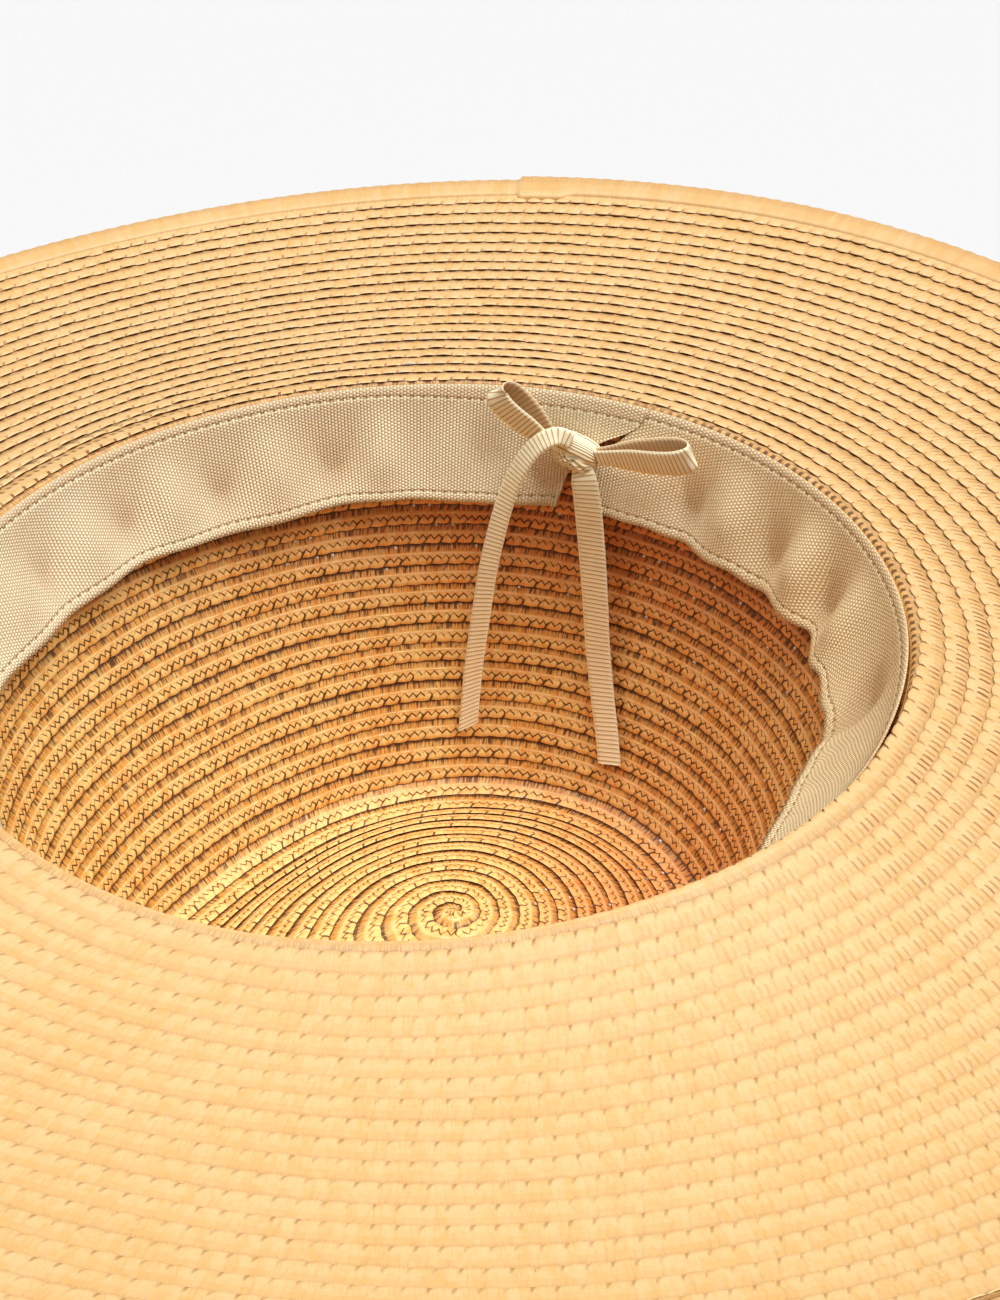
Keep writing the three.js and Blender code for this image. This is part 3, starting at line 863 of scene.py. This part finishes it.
def straw_shade(reach, turns):
    angle = math.tau * turns
    down = SEAM_REACH - reach
    tip = smooth(down, *TIP_DOWN)
    crown = lerp(1.0, TIP_CONTRAST, tip)
    brim = lerp(BRIM_CONTRAST, FRONT_CONTRAST, forward(angle, SHADE_FORWARD))
    contrast = lerp(crown, brim, smooth(-down, *CONTRAST_OUT))
    # Painted shade, which darkens the straw below the sweatband, at the foot of the right wall and on the tip
    near_band = smooth(down, *SHADE_DOWN) * bump(angle, SHADE_TURN, SHADE_SPREAD)
    foot = smooth(down, *FOOT_DOWN) * smooth(reach, *FOOT_REACH) * bump(angle, FOOT_TURN, SHADE_SPREAD)
    deep = SHADE_DEPTH * near_band + FOOT_SHADE_DEPTH * foot + TIP_SHADE_DEPTH * tip
    return np.stack([contrast, lerp(-deep, 1.0, smooth(-down, *PALE_OUT))], -1)


# Strength of the fine strands on the brim, which show most on the right
STRANDS_BACK = 0.16
STRANDS_FRONT = 0.05
STRANDS_RIGHT = 0.85
STRANDS_SPREAD = math.radians(38)
STRANDS_OUT = (0.0, 5.0)


def strand_strength(reach, turns):
    angle = math.tau * turns
    right = STRANDS_RIGHT * bump(angle, 0.0, STRANDS_SPREAD)
    strength = lerp(STRANDS_BACK, STRANDS_FRONT, forward(angle, SHADE_FORWARD)) + right
    return strength * smooth(reach - SEAM_REACH, *STRANDS_OUT)


# Gapes beside the seam. On the left one row of the brim is pulled out: middle and spread in turns, and width.
# On the right all the rows from the seam outwards are pulled out: middle and spread as angles, and width.
SEAM_LAP = math.floor((SEAM_REACH - SPIRAL_START) / ROW)
GAPE_LEFT = (SEAM_LAP + 1.42, 0.09, 1.2)
GAPE_REACH = 3.0
GAPE_RIGHT = (math.radians(24), math.radians(44), 2.3)
GAPE_RIGHT_START = SEAM_LAP - 0.3
FRINGE_FULL = 1.4


def left_gape(turns):
    middle, spread, width = GAPE_LEFT
    return width * np.exp(-(((turns - middle) / spread) ** 2))


def right_pull(turns):
    middle, spread, width = GAPE_RIGHT
    return width * bump(math.tau * turns, middle, spread) * (turns > GAPE_RIGHT_START)


# Columns of points to a plait, least distance from the middle of the tip, and how lively the plaits are
INSIDE_COLUMNS = 4
OUTSIDE_COLUMNS = 2
LEAST_REACH = 0.02
CROWN_LIVELY = 0.4
BRIM_LIVELY = 1.5
FRONT_LIVELY = 0.45
LIVELY_FORWARD = (-0.45, 0.25)


def braid_inside(name, first, last):
    turns, plaits = spiral_columns(first, last, INSIDE_COLUMNS)
    free_edge = SPIRAL_START + ROW * turns + wander(turns) + right_pull(turns)
    opened = left_gape(turns + 1) + right_pull(turns + 1) - right_pull(turns)
    on_brim = np.maximum(straw_shade(free_edge, turns)[:, 1], 0)
    brim_lively = lerp(BRIM_LIVELY, FRONT_LIVELY, forward(math.tau * turns, LIVELY_FORWARD))
    across, height = inside_section(plaits, lerp(CROWN_LIVELY, brim_lively, on_brim))
    under = across * (1 + opened / ROW)[:, None]
    reach = free_edge[:, None] + under + left_gape(turns)[:, None] * (across < GAPE_REACH)
    shade = straw_shade(reach, turns[:, None])
    fringe = np.broadcast_to(np.clip(opened / FRINGE_FULL, 0, 1)[:, None], reach.shape)
    strands = np.stack([fringe, strand_strength(reach, turns[:, None])], -1)
    return braid_mesh(name, turns, plaits, across, reach, height, shade, strands, False)


def braid_outside(name, first, last):
    turns, plaits = spiral_columns(first, last, OUTSIDE_COLUMNS)
    across, height = outside_section(plaits)
    reach = SPIRAL_START + ROW * (turns[:, None] + 1) - across
    shade = np.broadcast_to(OUTSIDE_SHADE, (*reach.shape, 2))
    strands = np.broadcast_to((0.0, STRANDS_BACK), shade.shape)
    return braid_mesh(name, turns, plaits, across, reach, -STRAW - height, shade, strands, True)


def braid_mesh(name, turns, plaits, across, reach, height, shade, strands, turned):
    reach = np.clip(reach, LEAST_REACH, SEAM_REACH + BRIM_WIDTH)
    angle = np.broadcast_to(math.tau * turns[:, None], reach.shape)
    points = straw_point(reach, angle, height)
    braid = np.stack([np.broadcast_to(plaits[:, None], reach.shape), across / ROW], -1)
    maps = {"braid": braid, "shade": shade, "strands": strands}
    uvs = {key: values.reshape(-1, 2) for key, values in maps.items()}
    quads = grid_quads(*reach.shape, turned=turned)
    return mesh_object(name, points.reshape(-1, 3), quads, uvs, STRAW_PAINT)


# Turns of the spiral where the tip, the wall and the inner part of the brim end
INNER_BRIM_ROWS = 12
TIP_TURNS = (SEAM_REACH - SIDE_LENGTH - RIDGE_WIDTH - SPIRAL_START) / ROW
SEAM_TURNS = (SEAM_REACH - SPIRAL_START) / ROW - 1
BRIM_MIDDLE = SEAM_TURNS + INNER_BRIM_ROWS


def piece(obj, node):
    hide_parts(node)
    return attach(obj, "root")


def make_straw():
    for name, first, last, node in (
        ("crown_tip_braid", FIRST_TURN, TIP_TURNS, "crown_tip"),
        ("crown_side_braid", TIP_TURNS, SEAM_TURNS, "crown_side"),
        ("brim_inner_braid", SEAM_TURNS, BRIM_MIDDLE, "brim"),
        ("brim_outer_braid", BRIM_MIDDLE, LAST_TURN, "brim"),
    ):
        piece(braid_inside(name, first, last), node)
        piece(braid_outside(name + "_outside", first, last), node)


# Edge row: a closed tube with a rounded flat section, whose end laps over its start
EDGE_COLUMNS = 1500
EDGE_SECTION = 14
EDGE_RADIUS = 197.0
EDGE_SLACK = 0.3
EDGE_LOOP = 0.25
EDGE_LOOP_SIDE = 0.5
EDGE_LOOP_RISE = 0.10
EDGE_SHADE = (0.22, 1.0)
EDGE_LEVEL = 0.62
EDGE_LEVELS = 0.5
LAP_TURN = math.radians(94)
LAP_OUT = 1.2
LAP_RAISE = 0.45
LAP_FADE = math.radians(40)
LAP_END = math.radians(4.2)
LAP_END_FULL = 0.8
LAP_END_WIDTH = 2.4
LAP_END_RISE = 1.1
SQUARISH = 0.6


def squarish(wave):
    return np.sign(wave) * np.abs(wave) ** SQUARISH


# Places of the section: out from the brim's edge, and up from its face
def edge_section(turn, angle, loop):
    past = np.mod(LAP_TURN - turn, math.tau)
    lap = np.clip(1 - past / LAP_FADE, 0, 1)
    end = smooth(past, LAP_END, LAP_END * LAP_END_FULL) * (past < LAP_END)
    inner = np.clip(-np.cos(angle), 0, 1)
    half_out = EDGE_WIDTH / 2 - EDGE_LOOP * (1 - loop) * (np.cos(angle) > EDGE_LOOP_SIDE)
    half_out = half_out + LAP_OUT / 2 * lap
    half_up = EDGE_THICKNESS / 2 - EDGE_SLACK + LAP_RAISE * lap
    out = SEAT_GAP + EDGE_WIDTH / 2 + LAP_OUT / 2 * lap + half_out * squarish(np.cos(angle))
    out = out - LAP_END_WIDTH * end * np.sqrt(inner)
    up = EDGE_RAISE - EDGE_THICKNESS / 2 + half_up * squarish(np.sin(angle))
    up = up + EDGE_LOOP_RISE * (loop - 0.5) * np.sin(angle) + LAP_END_RISE * end * inner
    return out, up


def make_brim_edge():
    turn = np.linspace(0, math.tau, EDGE_COLUMNS, endpoint=False)[:, None]
    angle = np.linspace(0, math.tau, EDGE_SECTION, endpoint=False)[None, :]
    plaits = turn / math.tau * round(math.tau * EDGE_RADIUS / PLAIT)
    out, up = edge_section(turn, angle, plait_loop(plaits))
    turns = np.broadcast_to(turn, out.shape)
    points = brim_point(turns, 0 * turns + BRIM_WIDTH, out, up)
    level = (out - SEAT_GAP) / EDGE_WIDTH * EDGE_LEVELS + EDGE_LEVEL
    braid = np.stack(np.broadcast_arrays(plaits, level), -1).reshape(-1, 2)
    shade = np.broadcast_to(EDGE_SHADE, braid.shape)
    uvs = {"braid": braid, "shade": shade, "strands": 0 * shade}
    quads = grid_quads(EDGE_COLUMNS, EDGE_SECTION, join_rows=True, join_columns=True, turned=True)
    obj = mesh_object("brim_edge_braid", points.reshape(-1, 3), quads, uvs, STRAW_PAINT)
    piece(obj, "brim_edge")


# A point inside the hollow: a turn, a drop below the seam and a distance in from the wall
def hollow_point(turn, drop, stand):
    turn, drop, stand = np.broadcast_arrays(turn, drop, stand)
    return crown_point(drop.astype(float), turn.astype(float), stand.astype(float))


# Points or map values of the two faces of a flat strip, as rings round it
def both_faces(one, other):
    rings = np.concatenate([one, other[:, ::-1]], 1)
    return rings.reshape(-1, rings.shape[-1])


# Quads of such a strip, with both of its ends closed
def strip_quads(columns, rows):
    ring = 2 * rows
    ends = [end_quads(0, rows, False), end_quads((columns - 1) * ring, rows, True)]
    return np.concatenate([grid_quads(columns, ring, join_columns=True), *ends])


def end_quads(first, rows, turned):
    i = np.arange(rows - 1)
    last = 2 * rows - 1
    quads = np.stack([first + i, first + i + 1, first + last - i - 1, first + last - i], -1)
    return quads[:, ::-1] if turned else quads


# Soft upright folds of the sweatband: turn in degrees, height and half width in degrees
BAND_FOLDS = (
    (66, 1.8, 3.6), (58.5, -2.4, 2.6), (51, 2.6, 3.2), (43, -2.6, 2.4), (36.5, 3.0, 3.0), (30, -2.4, 2.4),
    (23.5, 2.4, 2.8), (8, -3.4, 4.2), (-5, 1.5, 4.0), (-18, 0.8, 4.0), (81.5, -3.6, 3.4), (91, -1.4, 3.0),
    (97, 1.0, 3.5), (107, 1.4, 2.6), (114, -1.2, 3.5), (124, 1.0, 3.0), (132, -1.2, 3.5), (141, 1.2, 3.0),
    (148, -1.2, 3.0), (156, 1.2, 3.0), (164, -1.2, 3.0), (172, 1.2, 4.0), (184, -1.0, 4.0), (194, 0.9, 4.0),
    (205, 0.6, 4.0), (236, -0.6, 5.0), (270, 0.7, 4.0), (305, 0.6, 4.0),
)

# Shares of the way down where the folds grow, and where the hem holds them back
FOLD_GROWS = (0.1, 0.65)
FOLD_EASES = (0.65, 1.0)
BAND_HEM_EASE = 0.55

# Parting of the two ends: share of the way down, turn in degrees and half gap
BAND_PARTING = (
    (0.00, 68.0, 0.02), (0.14, 68.6, 0.02), (0.24, 70.4, 0.15), (0.34, 72.6, 1.3), (0.50, 76.4, 1.6),
    (0.75, 77.5, 2.6), (1.00, 77.7, 3.5),
)

# On the left the sewn edge is tucked in further
BAND_TUCK = 1.5
BAND_TUCK_TURNS = (math.radians(88), math.radians(112))

# Grid of the band, where it reaches its full thickness, and where its top drops
BAND_COLUMNS = 900
BAND_ROWS = 26
BAND_EDGE = (0, 0.1)
BAND_FORWARD = (-0.2, 0.4)

# Waves and scallops of the hem, which powers keep close to it
HEM_WAVE = 0.7
HEM_WAVES = 9
HEM_PHASE = 0.25
HEM_POWER = 4
SCALLOP_DRIFT = 2
SCALLOP_DRIFTS = 5
SCALLOP_POWER = 6


def band_turn(share, down):
    places, turns, gaps = np.array(BAND_PARTING).T
    parting = np.radians(np.interp(down, places, turns))
    gap = np.interp(down, places, gaps) / HEAD_RADIUS
    return parting + lerp(gap, math.tau - gap, share)


def band_lift(turn):
    return bump(turn, BAND_LIFT_TURN, BAND_LIFT_SPREAD)


def band_drop(turn, down):
    top = lerp(BAND_TOP_BACK, BAND_TOP_FRONT, forward(turn, BAND_FORWARD))
    drop = lerp(top, BAND_DROP + BAND_LIFT_DROP * band_lift(turn), down)
    wave = HEM_WAVE * np.sin(HEM_WAVES * turn + HEM_PHASE)
    drift = SCALLOP_DRIFT * np.sin(SCALLOP_DRIFTS * turn)
    scallop = BAND_SCALLOP * np.sin(BAND_SCALLOPS * turn + drift) * bump(turn, 0.0, BAND_SCALLOP_SPREAD)
    return drop + wave * down**HEM_POWER + scallop * down**SCALLOP_POWER


def band_folds(turn, down):
    pucker = BAND_PUCKER_DEPTH * np.sin(BAND_PUCKERS * turn)
    for middle, size, spread in BAND_FOLDS:
        pucker = pucker + size * bump(turn, math.radians(middle), math.radians(spread))
    return pucker * smooth(down, *FOLD_GROWS) * (1 - BAND_HEM_EASE * smooth(down, *FOLD_EASES))


def band_stand(turn, down):
    stand = lerp(BAND_SEAT, BAND_STAND + BAND_LIFT_STAND * band_lift(turn), down**2)
    return np.maximum(stand + band_folds(turn, down), BAND_SEAT)


def make_sweatband():
    share = np.linspace(0, 1, BAND_COLUMNS)[:, None]
    down = np.linspace(0, 1, BAND_ROWS)[None, :]
    turn = band_turn(share, down)
    drop = band_drop(turn, down)
    stand = band_stand(turn, down)
    thick = lerp(BAND_EDGE_THICKNESS, BAND_THICKNESS, smooth(down, *BAND_EDGE))
    points = both_faces(hollow_point(turn, drop, stand), hollow_point(turn, drop, stand + thick))
    tuck = BAND_TUCK * smooth(turn, *BAND_TUCK_TURNS) * (1 - down)
    cloth = np.stack([turn * HEAD_RADIUS, down * BAND_DROP + tuck], -1)
    fold = np.repeat(band_folds(turn, down)[..., None], 2, -1)
    uvs = {"cloth": both_faces(cloth, cloth), "fold": both_faces(fold, fold)}
    obj = mesh_object("sweatband_cloth", points, strip_quads(BAND_COLUMNS, BAND_ROWS), uvs, BAND_PAINT)
    piece(obj, "sweatband")


# Directions at a place on the wall: level along it, up it, and out into the hollow
def wall_frame(turn, drop):
    here = hollow_point(turn, drop, 0)
    right = unit(hollow_point(turn - TURN_STEP, drop, 0) - here)
    out = unit(hollow_point(turn, drop, FACE_STEP) - here)
    up = unit(np.cross(out, right))
    return right, up, out


def spun(vector, axis, angle):
    return (
        vector * np.cos(angle)
        + np.cross(axis, vector) * np.sin(angle)
        + axis * np.sum(axis * vector, -1, keepdims=True) * (1 - np.cos(angle))
    )


# A smooth curve through the rows of a table, at shares of the way through it
def table_curve(rows, share):
    table = np.array(rows, float)
    last = len(table) - 1
    place = share * last
    i = np.minimum(place.astype(int), last - 1)
    t = (place - i)[:, None]
    a, b, c, d = (table[np.clip(i + step, 0, last)] for step in (-1, 0, 1, 2))
    return b + 0.5 * t * (c - a + t * (2 * a - 5 * b + 4 * c - d + t * (3 * (b - c) + d - a)))


# A ribbed ribbon: points across it and to a rib, and its thin edges without ribs
RIBBON_ACROSS = 8
RIB_COLUMNS = 5
SELVEDGE = 0.9
SELVEDGE_THICKNESS = 0.35


def lengths_along(path):
    return running(np.linalg.norm(np.diff(path, axis=0), axis=1))


# A ribbon along a path, with the direction across it and its width at each point, slants of its ends, and
# the share of painted shade on one face
def ribbon_mesh(name, path, across, width, slant, inside):
    gone = lengths_along(path)
    even = np.linspace(0, gone[-1], int(gone[-1] / RIB_PITCH * RIB_COLUMNS))
    path, across = (np.stack([np.interp(even, gone, axis) for axis in v.T], -1) for v in (path, across))
    width = np.interp(even, gone, width)[:, None, None]
    along = unit(np.gradient(path, axis=0))
    face = unit(np.cross(along, across))
    wide = np.cross(face, along)
    side = np.linspace(-1, 1, RIBBON_ACROSS)
    shift = lerp(slant[0], slant[1], even / gone[-1])[:, None, None]
    rib = RIB_DEPTH * (np.abs(np.sin(math.pi * even / RIB_PITCH)) - 0.5)
    selvedge = np.abs(side) > SELVEDGE
    half = RIBBON_THICKNESS / 2 * np.where(selvedge, SELVEDGE_THICKNESS, 1.0) + rib[:, None] * ~selvedge
    flat = path[:, None] + wide[:, None] * (side[:, None] * width / 2)
    flat = flat + along[:, None] * (side[:, None] * shift)
    lift = face[:, None] * half[..., None]
    uv = np.stack(np.broadcast_arrays(even[:, None], side), -1)
    uvs = {"ribbon": both_faces(uv, uv), "inside": both_faces(inside + 0 * uv, 0 * uv)}
    quads = strip_quads(len(even), RIBBON_ACROSS)
    return mesh_object(name, both_faces(flat + lift, flat - lift), quads, uvs, RIBBON_PAINT)


# Steps along a tail, points of its cord, and how far one edge of its end leads the other
TAIL_STEPS = 200
TAIL_LEFT_SLANT = -1.6
TAIL_RIGHT_SLANT = 0.0


def make_tail(name, node, rows, slant):
    turn, drop, stand, twist, width = table_curve(rows, np.linspace(0, 1, TAIL_STEPS)).T
    _, _, out = wall_frame(np.radians(turn), drop)
    angle = np.radians(twist)[:, None]
    path = hollow_point(np.radians(turn), drop, stand)
    aside = unit(np.cross(out, np.gradient(path, axis=0)))
    across = aside * np.cos(angle) + out * np.sin(angle)
    obj = ribbon_mesh(name, path, across, width * RIBBON_WIDTH, (0.0, slant), 0.0)
    piece(obj, node)


# Steps round a loop, and the shares of its reach over which it widens
LOOP_STEPS = 160
LOOP_WIDENS = (0, 0.5)


def make_loop(name, node, loop):
    turn, drop = math.radians(loop["turn"]), loop["drop"]
    right, up, out = wall_frame(turn, drop)
    base = hollow_point(turn, drop, loop["stand"])
    rise, lean, roll = (math.radians(loop[key]) for key in ("rise", "lean", "roll"))
    line = (right * math.cos(rise) + up * math.sin(rise)) * math.cos(lean) + out * math.sin(lean)
    front = spun(out, line, roll)
    across = np.cross(line, front)
    share = np.linspace(0, 1, LOOP_STEPS)[:, None]
    away = np.sin(math.pi * share)
    swell = LOOP_SWELL * away**2 + LOOP_BASE_GAP / loop["opening"]
    aside = loop["opening"] * swell * np.cos(math.pi * share)
    skew = loop["skew"] * away * np.cos(math.pi * share)
    path = base + line * loop["reach"] * away + front * aside + across * skew
    width = RIBBON_WIDTH * lerp(LOOP_BASE_WIDTH, 1, smooth(away[:, 0], *LOOP_WIDENS))
    # One face of the loop gets the painted shade of its inside
    obj = ribbon_mesh(name, path, np.broadcast_to(across, path.shape), width, (0.0, 0.0), 1.0)
    piece(obj, node)


# Knot: a ribbon wrapped round the loops, with folds that fan out from its upper left
KNOT_ROWS = 80
KNOT_COLUMNS = 120
KNOT_ENDS = 0.48
KNOT_GIRTH = 5.5
KNOT_MAP = 1.6
FAN_MIDDLE = (-0.85, 0.25)
FAN_FOLDS = 26
FAN_DEPTH = 0.24
FAN_SHARP = 3
FAN_BELOW = (0.0, 0.3)
FAN_BESIDE = (0.1, 0.5)


# Size of the knot's section at a place along it and up it, drawn in by the folds
def knot_size(a, b):
    beside, above = FAN_MIDDLE
    heading = np.arctan2(b - above, a - beside)
    fold = (0.5 + 0.5 * np.cos(FAN_FOLDS * heading)) ** FAN_SHARP
    below = smooth(above - b, *FAN_BELOW) * smooth(a - beside, *FAN_BESIDE)
    return 1 - FAN_DEPTH * fold * below


def make_knot():
    turn = math.radians(KNOT_TURN)
    right, up, out = wall_frame(turn, KNOT_DROP)
    lean = np.linspace(-KNOT_ENDS, KNOT_ENDS, KNOT_ROWS)[:, None] * math.pi
    angle = np.linspace(0, math.tau, KNOT_COLUMNS, endpoint=False)[None, :]
    a = squarish(np.sin(lean)) + 0 * angle
    b = squarish(np.cos(lean)) * squarish(np.cos(angle))
    c = squarish(np.cos(lean)) * squarish(np.sin(angle))
    size = knot_size(a, b)
    axes = (spun(right, out, KNOT_TILT), spun(up, out, KNOT_TILT), out)
    points = hollow_point(turn, KNOT_DROP, KNOT_STAND)
    for axis, half, place in zip(axes, KNOT_HALF, (a, size * b, size * c)):
        points = points + axis * (half * place)[..., None]
    uv = np.stack([angle * KNOT_GIRTH + 0 * lean, lean / KNOT_MAP + 0 * angle], -1).reshape(-1, 2)
    quads = grid_quads(KNOT_ROWS, KNOT_COLUMNS, join_columns=True, turned=True)
    uvs = {"ribbon": uv, "inside": 0 * uv}
    obj = mesh_object("bow_knot_ribbon", points.reshape(-1, 3), quads, uvs, RIBBON_PAINT)
    piece(obj, "bow_knot")


def make_camera():
    data = bpy.data.cameras.new("photo_view")
    data.sensor_fit = "VERTICAL"
    data.sensor_width = data.sensor_height = CAMERA_FRAME
    data.lens = CAMERA_LENS
    data.clip_start, data.clip_end = CAMERA_CLIP
    camera = bpy.data.objects.new("photo_view", data)
    place = Matrix.Translation(Vector(CAMERA_PLACE) * MM)
    for angle, axis in ((CAMERA_HEADING, "Z"), (math.pi / 2 - CAMERA_TILT, "X"), (-CAMERA_ROLL, "Z")):
        place = place @ Matrix.Rotation(angle, 4, axis)
    camera.matrix_world = place
    bpy.context.scene.collection.objects.link(camera)
    bpy.context.scene.camera = camera


# Studio: azimuth and elevation in degrees and power of each light, their width, a dim room and a pale floor
LIGHTS = {"side_light": (-10, 62, 2.06), "top_light": (0, 86, 1.90), "fill_light": (185, 58, 0.86)}
LIGHT_WIDTH = math.radians(36)
SKY_STRENGTH = 0.147
FLOOR_SIZE = 8.0
FLOOR_TONE = (0.605, 0.605, 0.605)


def make_light(name, azimuth, elevation, power):
    data = bpy.data.lights.new(name, "SUN")
    data.angle = LIGHT_WIDTH
    data.energy = power
    light = bpy.data.objects.new(name, data)
    turn, rise = math.radians(azimuth), math.radians(elevation)
    flat = math.cos(rise)
    place = Vector((math.cos(turn) * flat, math.sin(turn) * flat, math.sin(rise)))
    light.location = place
    light.rotation_euler = (-place).to_track_quat("-Z", "Y").to_euler()
    bpy.context.scene.collection.objects.link(light)


def make_sky():
    world = bpy.data.worlds.new("studio")
    world.use_nodes = True
    sky = world.node_tree.nodes["Background"]
    sky.inputs["Color"].default_value = (1, 1, 1, 1)
    sky.inputs["Strength"].default_value = SKY_STRENGTH
    bpy.context.scene.world = world


def make_floor():
    paint = Paint("floor_paper", roughness=0.9, specular=0.1)
    paint.shader.inputs["Base Color"].default_value = (*FLOOR_TONE, 1)
    half = FLOOR_SIZE / 2 / MM
    corners = np.array([(-half, -half, 0), (half, -half, 0), (half, half, 0), (-half, half, 0)], float)
    floor = mesh_object("floor", corners, np.array([[0, 1, 2, 3]]), {}, paint.material)


def make_studio():
    make_sky()
    for name, values in LIGHTS.items():
        make_light(name, *values)
    make_floor()
    bpy.context.scene.view_settings.view_transform = "Standard"
    bpy.context.scene.view_settings.look = "None"


make_camera()
make_tail("bow_tail_left_ribbon", "bow_tail_left", TAIL_LEFT, TAIL_LEFT_SLANT)
make_tail("bow_tail_right_ribbon", "bow_tail_right", TAIL_RIGHT, TAIL_RIGHT_SLANT)
make_straw()
make_brim_edge()
make_sweatband()
make_loop("bow_loop_left_ribbon", "bow_loop_left", LOOP_LEFT)
make_loop("bow_loop_right_ribbon", "bow_loop_right", LOOP_RIGHT)
make_knot()
make_studio()
